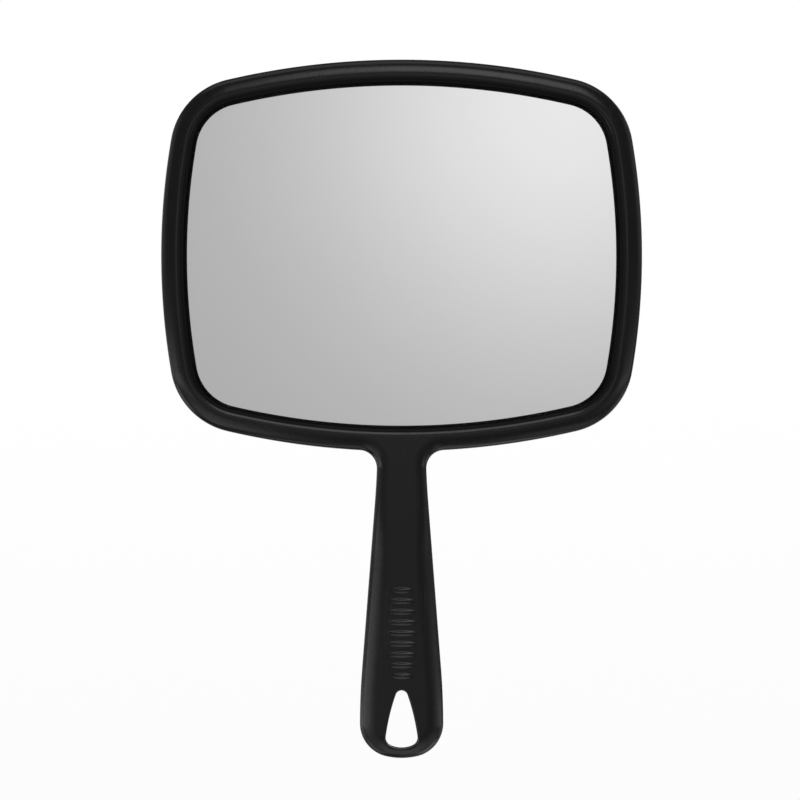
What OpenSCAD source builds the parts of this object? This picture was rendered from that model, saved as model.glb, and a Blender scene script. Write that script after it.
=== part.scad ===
// Salon hand mirror: one rim and handle, moulded as a front and a rear shell, with a
// silvered glass plate held between the rim's lip and a foam pad.
// Each piece is drawn lying down, x to the right, y up the handle and z to the front,
// and is then stood upright with its origin in the middle of the grip.

/* [Head] */
// Width of the head at its widest
head_w = 180; // [176:1:186]
// Height of the head, without the handle
head_h = 146.6; // [144:0.2:150]
// Radius of the bowed top and bottom edges
bow_r = 288; // [270:1:330]
// Radius of the bowed sides
side_r = 256; // [245:1:300]
// Radius of the head's four corners
corner_r = 27.6; // [24:0.2:31]

/* [Rim] */
// Width of the rim, from the outer edge to the visible glass
rim_w = 9.6; // [9.4:0.1:9.8]
// Distance of the rim's crest from the outer edge
crest_in = 5.5; // [5.3:0.1:5.6]
// Height of the crest over the parting plane
front_h = 6; // [5.8:0.1:6.4]
// Depth of the rear shell under the parting plane
rear_h = 5; // [4.8:0.1:6]
// Radius of the rounded front edge
edge_r = 2.5; // [2:0.1:2.6]
// Radius of the crowned face, between the rounded edge and the crest
crown_r = 10; // [9:0.5:12]
// Radius of the inner roll, from the crest down to the lip
roll_r = 4.5; // [4.5:0.1:5]
// Thickness of the lip where it ends on the glass
lip_t = 0.35; // [0.2:0.05:0.5]
// Radius of the rounded rear edge
rear_edge_r = 3.5; // [2.5:0.1:3.5]
// Wall thickness of both shells
wall = 2.2; // [2.2:0.1:2.4]

/* [Handle] */
// Length of the handle, from the foot of the head to the tip
handle_l = 114.8; // [108:0.2:125]
// Widest width of the handle, near its tip
butt_w = 31.2; // [30:0.1:33]
// Radius of the handle's rounded tip
tip_r = 26; // [22:0.5:30]
// Radius of the two corners beside the tip
tip_corner_r = 12.6; // [11:0.1:13.5]
// Radius of the hips, where the handle stops widening
hip_r = 260; // [240:10:300]
// Taper of each flank from upright, in degrees
taper = 4.4; // [4.2:0.05:4.5]
// Radius of the slight flare under the head
neck_r = 270; // [240:5:300]
// Length of that flare
neck_l = 18; // [15:0.5:20]
// Radius of the fillets where the handle meets the head
fillet_r = 6.8; // [6:0.1:8]

/* [Hang hole] */
// Height of the teardrop hole
hole_h = 21.8; // [20:0.2:23]
// Widest width of the hole
hole_w = 12; // [11:0.1:13]
// Plastic left between the hole and the tip of the handle
hole_margin = 3.6; // [3.4:0.1:4]
// Radius of the hole's top
hole_top_r = 2.3; // [2:0.1:2.5]
// Radius of the hole's foot
hole_foot_r = 10; // [8:0.1:12]
// Radius of the hole's lower corners
hole_corner_r = 3.2; // [3:0.1:3.6]
// Radius of the hole's bowed sides
hole_side_r = 80; // [60:5:120]
// Bevel round the hole, front and back
hole_bevel = 0.8; // [0.4:0.1:1]

/* [Glass] */
// Thickness of the glass plate
glass_t = 2; // [1.8:0.1:2.1]
// Width of glass hidden under the rim's lip
glass_hidden = 2; // [1.8:0.1:2.2]
// Thickness of the foam pad when squeezed
foam_t = 1.5; // [1.2:0.1:1.6]

/* [Grip bars] */
// Number of raised bars on the front of the handle
bar_count = 9; // [5:2:9]
// Distance between neighbouring bars
bar_pitch = 4; // [3.5:0.1:4.2]
// Length of the middle bar
bar_l = 13; // [10:0.5:14]
// Width of each bar where it leaves the face
bar_w = 2; // [1.6:0.1:2.2]
// Height of the bars over the face
bar_rise = 0.4; // [0.3:0.05:0.5]

/* [Hidden] */

chord_tol = 0.04;    // furthest that a straight step strays from its arc
silver_t = 0.05;
paint_t = 0.1;
film_t = 0.1;
film_in = 3;         // margin of the adhesive film inside the glass's edge
foam_in = 2;         // margin of the foam pad inside the glass's edge
lap_in = 1.05;       // thickness of the front wall outside the locating tongue
lap_t = 0.95;        // thickness of the tongue
lap_h = 1;
lap_gap = 0.1;
rib_t = 1.2;
rib_gap = 0.2;       // clearance between the glass's edge and the rib round it
recess_in = 13;      // margin of the shallow recess in the back
recess_t = 0.5;
pin_drops = [14, 48, 82]; // alignment pins, measured down from the foot of the head
pin_r = 1.5;
pin_h = 2.6;
pin_gap = 0.05;
pin_chamfer = 0.3;
post_r = 3;
socket_r = 3.4;
socket_l = 3.1;
collar_t = 1.6;      // wall round the hang hole
bar_drop = 68;       // middle grip bar, measured down from the foot of the head
pad_rib_x = [-60:30:60];
pad_rib_y = [-36:36:36];
sink = 0.2;          // how far a rib runs into the wall that it joins

roll_turn = asin((rim_w - crest_in) / roll_r);
roll_foot = front_h - roll_r + roll_r * cos(roll_turn);
glass_front = roll_foot - lip_t;
glass_back = glass_front - glass_t;
silver_back = glass_back - silver_t;
paint_back = silver_back - paint_t;
film_back = paint_back - film_t;
foam_back = film_back - foam_t;
glass_in = rim_w - glass_hidden;
rib_in = glass_in - rib_gap - rib_t;
roof = front_h - wall;
floor = wall - rear_h;
head_foot = -head_h / 2;
tip_y = head_foot - handle_l;
grip_y = (head_foot + tip_y) / 2;

// ---- Outlines: arcs [centre, radius, from, to], in degrees of the outward normal ----
// A negative radius is a hollow curve. Each outline is drawn for its right half,
// from foot to top, and its arcs are tangent to one another.

function dir(a) = [cos(a), sin(a)];
function angle(v) = atan2(v.y, v.x);

// Where circles round p and q meet, on the left of the way from p to q
function meet(p, rp, q, rq) =
    let (d = norm(q - p), along = (d ^ 2 + rp ^ 2 - rq ^ 2) / (2 * d), u = (q - p) / d)
    p + u * along + [-u.y, u.x] * sqrt(rp ^ 2 - along ^ 2);

// Normal angle at which tangent circles [centre, radius] touch
function touch(p, q) = angle((q[0] - p[0]) * sign(p[1] - q[1]));

// Turns tangent circles into arcs, from the first normal angle to the last
function tangent_arcs(circles, first, last) =
    let (n = len(circles), turns = [for (i = [1:n - 1]) touch(circles[i - 1], circles[i])])
    [for (i = [0:n - 1]) [
        circles[i][0], circles[i][1], i == 0 ? first : turns[i - 1], i == n - 1 ? last : turns[i]
    ]];

foot_bow = [[0, head_foot + bow_r], bow_r];
top_bow = [[0, -head_foot - bow_r], bow_r];
side_bow = [[head_w / 2 - side_r, 0], side_r];
top_corner = [meet(side_bow[0], side_r - corner_r, top_bow[0], bow_r - corner_r), corner_r];
foot_corner = [[top_corner[0].x, -top_corner[0].y], corner_r];

tip_turn = -90 + asin((butt_w / 2 - tip_corner_r) / (tip_r - tip_corner_r));
tip = [[0, tip_y + tip_r], tip_r];
tip_corner = [tip[0] + (tip_r - tip_corner_r) * dir(tip_turn), tip_corner_r];
hip = [tip_corner[0] - [hip_r - tip_corner_r, 0], hip_r];
flank_foot = hip[0] + hip_r * dir(taper);
flank_l = (head_foot - neck_l - flank_foot.y) / cos(taper);
neck = [flank_foot + flank_l * dir(90 + taper) + neck_r * dir(taper), -neck_r];
fillet = [meet(neck[0], neck_r - fillet_r, foot_bow[0], bow_r + fillet_r), -fillet_r];
fillet_end = touch(fillet, foot_bow);

butt_arcs = tangent_arcs([tip, tip_corner, hip], -90, taper);
neck_arcs = tangent_arcs([neck, fillet], taper, fillet_end);
handle_arcs = concat(butt_arcs, neck_arcs);
rim_arcs = tangent_arcs([foot_bow, foot_corner, side_bow, top_corner, top_bow], fillet_end, 90);
throat_arcs = [[foot_bow[0], bow_r, -90, fillet_end]];
head_arcs = concat(throat_arcs, rim_arcs);

hole_y = tip_y + hole_margin;
hole_turn = -90 + asin((hole_w / 2 - hole_corner_r) / (hole_foot_r - hole_corner_r));
hole_foot = [[0, hole_y + hole_foot_r], hole_foot_r];
hole_corner = [hole_foot[0] + (hole_foot_r - hole_corner_r) * dir(hole_turn), hole_corner_r];
hole_top = [[0, hole_y + hole_h - hole_top_r], hole_top_r];
hole_side_centre = meet(
    hole_corner[0], hole_side_r - hole_corner_r, hole_top[0], hole_side_r - hole_top_r
);
hole_arcs = tangent_arcs(
    [hole_foot, hole_corner, [hole_side_centre, hole_side_r], hole_top], -90, 90
);

// Stations [point, outward normal] along one arc
function stations(a) =
    let (n = ceil(abs(a[3] - a[2]) / (2 * acos(1 - chord_tol / abs(a[1])))))
    [for (i = [0:n]) let (u = dir(a[2] + (a[3] - a[2]) * i / n)) [a[0] + a[1] * u, u]];

// Stations along arcs, without the repeated ones where arcs meet
function half_path(arcs) =
    let (all = [for (a = arcs) each stations(a)])
    [for (i = [0:len(all) - 1]) if (i == 0 || norm(all[i][0] - all[i - 1][0]) > 0.001) all[i]];

// Closed outline of a half path, which starts and ends on the y axis, and its mirror image
function closed_path(arcs) =
    let (half = half_path(arcs))
    concat(half, [for (i = [len(half) - 2:-1:1]) [for (v = half[i]) [-v.x, v.y]]]);

// Points of a path moved d into the material
function inset(path, d) = [for (s = path) s[0] - s[1] * d];

// The same arcs from top to foot
function reversed(arcs) = [
    for (i = [len(arcs) - 1:-1:0]) [arcs[i][0], arcs[i][1], arcs[i][3], arcs[i][2]]
];

head = closed_path(head_arcs);
silhouette = closed_path(concat(handle_arcs, rim_arcs));
hole = closed_path(hole_arcs);

// ---- Shapes ----

// Sweeps a closed section round a closed path. The section's x is the distance in from
// the path, and its y the height.
module band(path, section) {
    m = len(section);
    n = len(path);
    points = [for (s = path, p = section) let (q = s[0] - s[1] * p.x) [q.x, q.y, p.y]];
    faces = [
        for (i = [0:n - 1], j = [0:m - 1])
            let (i2 = (i + 1) % n, j2 = (j + 1) % m)
            each [[i * m + j, i * m + j2, i2 * m + j2], [i * m + j, i2 * m + j2, i2 * m + j]]
    ];
    polyhedron(points, faces);
}

module prism(points, z0, z1) {
    translate([0, 0, z0]) linear_extrude(z1 - z0) polygon(points);
}

// A flat plate with the head's outline moved d into the material
module head_plate(d, z0, z1) {
    prism(inset(head, d), z0, z1);
}

module at_pins() {
    for (drop = pin_drops) translate([0, head_foot - drop, 0]) children();
}

module upright() {
    rotate([90, 0, 0]) translate([0, -grip_y, 0]) children();
}

// Teardrop hole through both shells, bevelled at both faces
module hang_hole() {
    prism(inset(hole, 0), -rear_h - 1, front_h + 1);
    hull() {
        prism(inset(hole, -hole_bevel), front_h, front_h + 1);
        prism(inset(hole, 0), front_h - hole_bevel, front_h);
    }
    hull() {
        prism(inset(hole, -hole_bevel), -rear_h - 1, -rear_h);
        prism(inset(hole, 0), -rear_h, hole_bevel - rear_h);
    }
}

module hole_collar(z0, z1) {
    prism(inset(hole, -collar_t), z0, z1);
}

// ---- Sections ----

function curve(c, r, a0, a1, n) = [for (i = [0:n]) c + r * dir(a0 + (a1 - a0) * i / n)];

edge_turn = asin((crest_in - edge_r) / (crown_r - edge_r));
edge_z = front_h - crown_r + (crown_r - edge_r) * cos(edge_turn);

// Outside of the front shell, from the parting plane up over the edge to the crest, and
// the inside of its wall, down to the step that the rear shell's tongue enters
front_section = concat(
    [[0, 0]],
    curve([edge_r, edge_z], edge_r, 180, 90 + edge_turn, 5),
    curve([crest_in, front_h - crown_r], crown_r, 90 + edge_turn * 3 / 4, 90, 3),
    [
        [crest_in, roof], [wall, roof],
        [wall, lap_h + lap_gap], [lap_in, lap_h + lap_gap], [lap_in, 0],
    ]
);
// Roll from the crest down to the lip over the glass, with the rib round the glass's edge
lip_section = concat(
    curve([crest_in, front_h - roll_r], roll_r, 90, 90 - roll_turn, 7),
    [
        [rim_w, glass_front], [rib_in + rib_t, glass_front], [rib_in + rib_t, silver_back],
        [rib_in, silver_back], [rib_in, roof], [crest_in, roof],
    ]
);
// Wall of the rear shell, with its tongue, the floor and the rounded rear edge
rear_section = concat(
    [
        [lap_in + lap_gap, 0], [lap_in + lap_gap, lap_h],
        [lap_in + lap_gap + lap_t, lap_h], [lap_in + lap_gap + lap_t, 0],
        [wall, 0], [wall, floor], [crest_in, floor], [crest_in, -rear_h],
    ],
    curve([rear_edge_r, rear_edge_r - rear_h], rear_edge_r, 270, 180, 6),
    [[0, 0]]
);

// ---- Sub-parts ----

// Front moulding: rim, lip and front half of the handle
module front_frame() {
    color([0.03, 0.03, 0.03]) upright() difference() {
        union() {
            band(silhouette, front_section);
            band(head, lip_section);
            handle_face();
            at_pins() translate([0, 0, lap_gap])
                cylinder(r = socket_r, h = roof + sink - lap_gap, $fn = 48);
            hole_collar(0, roof + sink);
            grip_bars();
        }
        at_pins() translate([0, 0, -1])
            cylinder(r = pin_r + pin_gap, h = socket_l + 1, $fn = 48);
        hang_hole();
    }
}

// Flat face of the handle, from its rounded edges to the head's rim
module handle_face() {
    prism(inset(closed_path(concat(handle_arcs, reversed(throat_arcs))), crest_in), roof, front_h);
}

// Spindle-shaped bars that rise out of the face, longest in the middle
module grip_bars() {
    middle = (bar_count - 1) / 2;
    sphere_r = (bar_w ^ 2 / 4 + bar_rise ^ 2) / (2 * bar_rise);
    for (i = [-middle:middle]) {
        half_l = bar_l / 2 * sqrt(1 - (i / (middle + 1.5)) ^ 2);
        bow = (half_l ^ 2 + sphere_r ^ 2) / (2 * sphere_r);
        half_turn = asin(half_l / bow);
        translate([0, head_foot - bar_drop + i * bar_pitch, front_h + bar_rise - sphere_r])
            rotate([0, 90, 0]) rotate_extrude($fn = 48)
            polygon(curve([sphere_r - bow, 0], bow, -half_turn, half_turn, 8));
    }
}

// Rear moulding: back of the head with its supporting ribs, and rear half of the handle
module rear_shell() {
    color([0.04, 0.04, 0.04]) upright() difference() {
        union() {
            band(silhouette, rear_section);
            prism(inset(silhouette, crest_in), -rear_h, floor);
            pad_ribs();
            at_pins() pin();
            hole_collar(floor - sink, 0);
        }
        head_plate(recess_in, -rear_h - 1, recess_t - rear_h);
        hang_hole();
    }
}

// Alignment pin on its post
module pin() {
    translate([0, 0, floor - sink]) cylinder(r = post_r, h = sink - floor, $fn = 48);
    cylinder(r = pin_r, h = pin_h - pin_chamfer, $fn = 48);
    translate([0, 0, pin_h - pin_chamfer])
        cylinder(r1 = pin_r, r2 = pin_r - pin_chamfer, h = pin_chamfer, $fn = 48);
}

// Ribs inside the back that press the foam pad against the glass
module pad_ribs() {
    ring_in = glass_in + foam_in + 1;
    translate([0, 0, floor - sink]) linear_extrude(foam_back - floor + sink) {
        difference() {
            polygon(inset(head, ring_in));
            polygon(inset(head, ring_in + rib_t));
        }
        intersection() {
            polygon(inset(head, ring_in + rib_t / 2));
            union() {
                for (x = pad_rib_x) translate([x, 0]) square([rib_t, head_h], center = true);
                for (y = pad_rib_y) translate([0, y]) square([head_w, rib_t], center = true);
            }
        }
    }
}

// Float glass plate
module mirror_glass() {
    color([0.75, 0.85, 0.82, 0.5]) upright() head_plate(glass_in, glass_back, glass_front);
}

// Silver on the back of the glass
module silver_coating() {
    color([0.85, 0.86, 0.87]) upright() head_plate(glass_in, silver_back, glass_back);
}

// Paint that seals the silver
module back_paint() {
    color([0.35, 0.37, 0.4]) upright() head_plate(glass_in, paint_back, silver_back);
}

// Adhesive that bonds the foam pad to the painted back
module adhesive_film() {
    color([0.85, 0.8, 0.6, 0.6]) upright() head_plate(glass_in + film_in, film_back, paint_back);
}

// Closed-cell foam pad behind the glass
module foam_pad() {
    color([0.2, 0.2, 0.22]) upright() head_plate(glass_in + foam_in, foam_back, film_back);
}

front_frame();
rear_shell();
mirror_glass();
silver_coating();
back_paint();
adhesive_film();
foam_pad();
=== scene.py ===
"""Salon hand mirror: visual model, materials and studio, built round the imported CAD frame.

Shapes are worked out in millimetres, in the CAD frame: x to the right, y to the back and
z up the handle. A height is measured from the plane where the two shells meet, towards the
outside of the shell in question. Each half outline runs up the right side of the object.
The camera and the studio are in metres.
"""
import math

import bmesh
import bpy
import numpy as np
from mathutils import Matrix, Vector


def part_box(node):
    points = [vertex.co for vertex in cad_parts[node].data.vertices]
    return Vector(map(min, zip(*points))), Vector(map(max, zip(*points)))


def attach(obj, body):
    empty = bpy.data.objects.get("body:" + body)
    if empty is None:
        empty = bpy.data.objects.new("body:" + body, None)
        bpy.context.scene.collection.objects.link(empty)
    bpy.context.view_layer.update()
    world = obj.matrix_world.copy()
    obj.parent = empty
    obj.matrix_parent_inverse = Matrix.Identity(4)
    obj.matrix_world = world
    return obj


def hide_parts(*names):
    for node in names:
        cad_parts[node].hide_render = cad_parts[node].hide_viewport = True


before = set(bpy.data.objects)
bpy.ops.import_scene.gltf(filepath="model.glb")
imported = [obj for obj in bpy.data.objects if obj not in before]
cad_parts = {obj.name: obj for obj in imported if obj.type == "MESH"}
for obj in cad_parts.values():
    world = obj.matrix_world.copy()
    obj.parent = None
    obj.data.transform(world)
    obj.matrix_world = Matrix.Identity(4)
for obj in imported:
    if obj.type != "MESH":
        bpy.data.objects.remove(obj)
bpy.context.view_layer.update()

MM = 0.001
FRONT, REAR = -1, 1      # side of the parting plane, along y


def box_mm(node):
    low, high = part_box(node)
    return np.array(low) / MM, np.array(high) / MM


# ---------------------------------------------------------------- sizes, in millimetres

FRAME_LOW, FRAME_HIGH = box_mm("front_frame")
GLASS_LOW, GLASS_HIGH = box_mm("mirror_glass")
SILVER_HIGH_Y = box_mm("silver_coating")[1][1]
FOAM_LOW, FOAM_HIGH = box_mm("foam_pad")

HEAD_W = FRAME_HIGH[0] - FRAME_LOW[0]
GLASS_IN = (HEAD_W - (GLASS_HIGH[0] - GLASS_LOW[0])) / 2
HEAD_H = GLASS_HIGH[2] - GLASS_LOW[2] + 2 * GLASS_IN
HEAD_MID = (GLASS_LOW[2] + GLASS_HIGH[2]) / 2
HEAD_FOOT = HEAD_MID - HEAD_H / 2
TIP_Z = FRAME_LOW[2]
GLASS_FRONT = -GLASS_LOW[1]
REAR_H = box_mm("rear_shell")[1][1]

BOW_R, SIDE_R, CORNER_R = 288, 256, 27.6
RIM_W = GLASS_IN + 2
CREST_IN = 5.5           # rim's crest, from the outer edge
FRONT_H = 6
EDGE_R = 2.5             # rounded edge of both shells
EDGE_SINK = 0.63         # how far the crowned border sinks from the crest to the rounded edge
NECK_SINK = 0.16         # the same on the neck, whose face is nearly flat
NECK_FLAT = (18, 42)     # drops below the head's foot where the flat neck ends, and the crown is full
NECK_BLEND = 9           # length over which the neck's edge takes up the rim's crown
LIP_T = 0.35
LIP_SHADE_STARTS = (20, 38)   # degrees down the roll where the painted shade begins, and where it deepens
WALL = 2.2
SEAM = 0.12              # bevel of each shell along the parting line

BUTT_W, TIP_R, TIP_CORNER_R, HIP_R = 31.2, 26, 12.6, 260
TAPER, NECK_R, NECK_L, FILLET_R = 4.4, 270, 18, 6.8
FILLET_LEAN = 0.05       # how far down the outline's normal leans where the fillet begins
CROWN_W = 7.5            # crowned border of the handle, once clear of the neck
CROWN_GROWS = (10, 55)   # drops below the head's foot between which the border widens to that
HOLE_SHARE = 0.6         # share of the way to the hang hole that the border may take up

HOLE_H, HOLE_W, HOLE_MARGIN = 21.8, 12, 3.6
HOLE_TOP_R, HOLE_FOOT_R, HOLE_CORNER_R, HOLE_SIDE_R = 2.3, 10, 3.2, 80
HOLE_EDGE_R = 0.7
COLLAR_T = 1.6

BAR_COUNT, BAR_PITCH, BAR_L, BAR_W, BAR_RISE = 9, 4, 13, 2.4, 0.4
BAR_DROP = 68            # middle bar, below the head's foot
BAR_BEYOND = 1.5         # pitches past the last bar where the oval outline of them all would close
BAR_SOFTNESS = 1.5       # power of the bars' profile: the foot of each side blends into the face
BARS_LOW = HEAD_FOOT - BAR_DROP - (BAR_COUNT - 1) / 2 * BAR_PITCH - BAR_W
BARS_HIGH = -BARS_LOW / 2        # end of the fine rows, well clear of the top bar

PIN_DROPS = (14, 48, 82)
PIN_R, PIN_OUT, POST_R = 1.5, 2.6, 3
SOCKET_R, SOCKET_BORE_R, SOCKET_DEPTH = 3.4, 1.55, 3.1
TONGUE_IN, TONGUE_END, TONGUE_OUT = 1.15, 2, 1
GROOVE_IN, GROOVE_DEPTH = 1.05, 1.1
ROOT = 0.5               # how far pins and tongue start inside the rear shell

RIB_IN, RIB_T = GLASS_IN - 1.4, 1.2
GLASS_SLACK = 0.1
RECESS_IN, RECESS_T = 13, 0.5
RAMP_W, RAMP_STEPS = 1.4, 6      # soft shoulder round the recess
RAMP_AWAY = 3            # last row of the level border, outside the shoulder
FOAM_IN = GLASS_IN + 2
FOAM_SWELL, FOAM_EDGE_R = 0.3, 0.5
FOAM_SWELL_W = 6         # distance from a rib at which the foam stands fully proud
PAD_RING_IN = 1          # ring rib, from the foam's edge
PAD_RIB_T = 1.2
PAD_RIB_X = (-60, -30, 0, 30, 60)
PAD_RIB_Z = (-36, 0, 36)

# Fineness of the meshes: longest steps, and turns in degrees from one step to the next
STEP, TURN, RIM_TURN = 1.2, 3, 2
THROAT_STEP = 0.36
BAR_STEP = 0.16          # along the edge beside the grip bars
HOLE_STEP, HOLE_FINE_STEP = 0.1, 0.05
HIDDEN_STEP, HIDDEN_TURN = 5, 6
FOAM_STEP, FOAM_TURN = 3, 4
FOAM_COLUMNS, FOAM_EDGE_COLUMNS, FOAM_EDGE_FROM = 55, 14, 0.9
EDGE_STEPS = 22          # columns of faces from the outer edge to the crest
EDGE_CROWDING = 1.7      # power that crowds those columns towards the edge
RADIAL_STEPS = 8         # rows of faces from the handle's border to the hang hole
ROLL_POINTS, HOLE_EDGE_POINTS = 6, 7

SAME_POINT = 1e-6
WELD = 1e-4
PAST = 1                 # how far a cutting shape runs past the face that it opens
FUSE = 0.2               # how far a rib runs into the floor that it stands on


# ---------------------------------------------------------------- outlines

def direction(degrees):
    return np.array([math.cos(math.radians(degrees)), math.sin(math.radians(degrees))])


def angle(v):
    return math.degrees(math.atan2(v[1], v[0]))


def meet(p, rp, q, rq):
    """Where circles round p and q meet, on the left of the way from p to q."""
    d = np.linalg.norm(q - p)
    along = (d * d + rp * rp - rq * rq) / (2 * d)
    u = (q - p) / d
    return p + u * along + np.array([-u[1], u[0]]) * math.sqrt(rp * rp - along * along)


def tangent_arcs(circles, first, last):
    """Arcs (centre, radius, from, to) of tangent circles, in degrees of the outward normal.
    A negative radius is a hollow curve."""
    turns = [angle((q[0] - p[0]) * math.copysign(1, p[1] - q[1])) for p, q in zip(circles, circles[1:])]
    return [(c, r, a, b) for (c, r), a, b in zip(circles, [first, *turns], [*turns, last])]


def sample(arcs, step, turn=TURN):
    """Stations (point, outward normal) along arcs, no further apart than step or turn."""
    out = []
    for c, r, a, b in arcs:
        n = max(1, math.ceil(abs(b - a) / turn), math.ceil(abs(math.radians(b - a) * r) / step))
        ways = [direction(a + (b - a) * i / n) for i in range(n + 1)]
        out += [(c + r * way, way) for way in ways]
    apart = [np.linalg.norm(q[0] - p[0]) > SAME_POINT for p, q in zip(out, out[1:])]
    keep = [out[0]] + [station for station, new in zip(out[1:], apart) if new]
    return np.array([point for point, _ in keep]), np.array([way for _, way in keep])


def resample(path, normals, step, low=-math.inf, high=math.inf):
    """The same path with stations no further apart than step, between two heights."""
    p, n = [path[0]], [normals[0]]
    for a, b, na, nb in zip(path, path[1:], normals, normals[1:]):
        inside = low < (a[1] + b[1]) / 2 < high
        count = max(1, math.ceil(np.linalg.norm(b - a) / step)) if inside else 1
        for i in range(1, count + 1):
            p.append(a + (b - a) * i / count)
            n.append(na + (nb - na) * i / count)
    return np.array(p), np.array(n)


def inset(path, normals, d):
    """The path moved inwards by d, a number or one for each point."""
    return path - normals * np.reshape(d, (-1, 1))


def flat(points, height):
    return np.column_stack([points, np.full(len(points), float(height))])


def run(path):
    """Length along the path up to each point."""
    return np.concatenate([[0], np.cumsum(np.linalg.norm(np.diff(path, axis=0), axis=1))])


def coarse(arcs, d):
    """Half outline of long steps, for hidden faces, moved inwards by d."""
    return inset(*resample(*sample(arcs, HIDDEN_STEP, HIDDEN_TURN), HIDDEN_STEP), d)


def head_and_handle():
    """Arcs of the handle, of the rim round the head, and of the head's foot behind the handle."""
    foot_bow = (np.array([0, HEAD_FOOT + BOW_R]), BOW_R)
    top_bow = (np.array([0, HEAD_FOOT + HEAD_H - BOW_R]), BOW_R)
    side_bow = (np.array([HEAD_W / 2 - SIDE_R, HEAD_MID]), SIDE_R)
    corner = meet(side_bow[0], SIDE_R - CORNER_R, top_bow[0], BOW_R - CORNER_R)
    top_corner = (corner, CORNER_R)
    foot_corner = (np.array([corner[0], 2 * HEAD_MID - corner[1]]), CORNER_R)

    tip_turn = -90 + math.degrees(math.asin((BUTT_W / 2 - TIP_CORNER_R) / (TIP_R - TIP_CORNER_R)))
    tip = (np.array([0, TIP_Z + TIP_R]), TIP_R)
    tip_corner = (tip[0] + (TIP_R - TIP_CORNER_R) * direction(tip_turn), TIP_CORNER_R)
    hip = (tip_corner[0] - [HIP_R - TIP_CORNER_R, 0], HIP_R)
    flank_foot = hip[0] + HIP_R * direction(TAPER)
    flank_l = (HEAD_FOOT - NECK_L - flank_foot[1]) / math.cos(math.radians(TAPER))
    neck = (flank_foot + flank_l * direction(90 + TAPER) + NECK_R * direction(TAPER), -NECK_R)
    fillet = (meet(neck[0], NECK_R - FILLET_R, foot_bow[0], BOW_R + FILLET_R), -FILLET_R)
    fillet_end = angle(fillet[0] - foot_bow[0])

    handle = (
        tangent_arcs([tip, tip_corner, hip], -90, TAPER)
        + tangent_arcs([neck, fillet], TAPER, fillet_end)
    )
    rim = tangent_arcs([foot_bow, foot_corner, side_bow, top_corner, top_bow], fillet_end, 90)
    throat = [(*foot_bow, -90, fillet_end)]
    return handle, rim, throat


def hole_arcs():
    foot_z = TIP_Z + HOLE_MARGIN
    turn = -90 + math.degrees(math.asin((HOLE_W / 2 - HOLE_CORNER_R) / (HOLE_FOOT_R - HOLE_CORNER_R)))
    foot = (np.array([0, foot_z + HOLE_FOOT_R]), HOLE_FOOT_R)
    corner = (foot[0] + (HOLE_FOOT_R - HOLE_CORNER_R) * direction(turn), HOLE_CORNER_R)
    top = (np.array([0, foot_z + HOLE_H - HOLE_TOP_R]), HOLE_TOP_R)
    side = (meet(corner[0], HOLE_SIDE_R - HOLE_CORNER_R, top[0], HOLE_SIDE_R - HOLE_TOP_R), HOLE_SIDE_R)
    return tangent_arcs([foot, corner, side, top], -90, 90)


HANDLE_ARCS, RIM_ARCS, THROAT_ARCS = head_and_handle()
HEAD_ARCS = THROAT_ARCS + RIM_ARCS
WHOLE_ARCS = HANDLE_ARCS + RIM_ARCS
HOLE_ARCS = hole_arcs()

handle_path, handle_normals = resample(*sample(HANDLE_ARCS, STEP), STEP)
rim_path, rim_normals = sample(RIM_ARCS, STEP, RIM_TURN)
throat_path, throat_normals = sample(THROAT_ARCS, THROAT_STEP)
head_path = np.concatenate([throat_path, rim_path[1:]])
head_normals = np.concatenate([throat_normals, rim_normals[1:]])


# ---------------------------------------------------------------- mesh building

class Half:
    """The right half of a closed surface, collected as grids and faces of (x, z, height)."""

    def __init__(self, side):
        self.side = side
        self.verts = []
        self.faces = []
        self.tags = []

    def add(self, points):
        """Adds points and returns their indices, in the same arrangement."""
        points = np.asarray(points, float)
        listed = points.reshape(-1, 3)
        start = len(self.verts)
        self.verts += [(x, self.side * height, z) for x, z, height in listed]
        return np.arange(start, start + len(listed)).reshape(points.shape[:-1])

    def grid(self, points, tag=0):
        """Adds rows of points, joined by four-sided faces."""
        i = self.add(points)
        quads = np.stack([i[:-1, :-1], i[1:, :-1], i[1:, 1:], i[:-1, 1:]], -1).reshape(-1, 4)
        self.faces += [tuple(q) for q in quads]
        self.tags += [tag] * len(quads)

    def face(self, points, tag=0):
        """Adds one face with those corners."""
        self.faces.append(tuple(self.add(points)))
        self.tags.append(tag)

    def mirrored(self, name):
        """The mesh object of both halves, welded along x = 0."""
        n = len(self.verts)
        verts = self.verts + [(-x, y, z) for x, y, z in self.verts]
        faces = self.faces + [tuple(n + i for i in reversed(f)) for f in self.faces]
        return mesh_object(name, verts, faces, self.tags + self.tags)


def mesh_object(name, verts, faces, tags):
    """A mesh object from millimetres, with doubled points welded and its faces facing out.
    Each face's tag is its material's number."""
    bm = bmesh.new()
    made = [bm.verts.new(v) for v in verts]
    for f, tag in zip(faces, tags):
        bm.faces.new([made[i] for i in f]).material_index = tag
    bmesh.ops.remove_doubles(bm, verts=bm.verts, dist=WELD)
    bmesh.ops.dissolve_degenerate(bm, edges=bm.edges, dist=WELD)
    bmesh.ops.recalc_face_normals(bm, faces=bm.faces)
    bmesh.ops.scale(bm, vec=(MM, MM, MM), verts=bm.verts)
    mesh = bpy.data.meshes.new(name)
    for _ in range(max(tags) + 1):
        mesh.materials.append(None)
    bm.to_mesh(mesh)
    bm.free()
    obj = bpy.data.objects.new(name, mesh)
    bpy.context.scene.collection.objects.link(obj)
    return obj


def prism(side, outline, low, high):
    """A closed prism over a half outline that starts and ends on x = 0."""
    half = Half(side)
    levels = [flat(outline, h) for h in (low, high)]
    half.grid(np.stack(levels, 1))
    half.face(levels[0])
    half.face(levels[1][::-1])
    return half.mirrored("prism")


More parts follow.
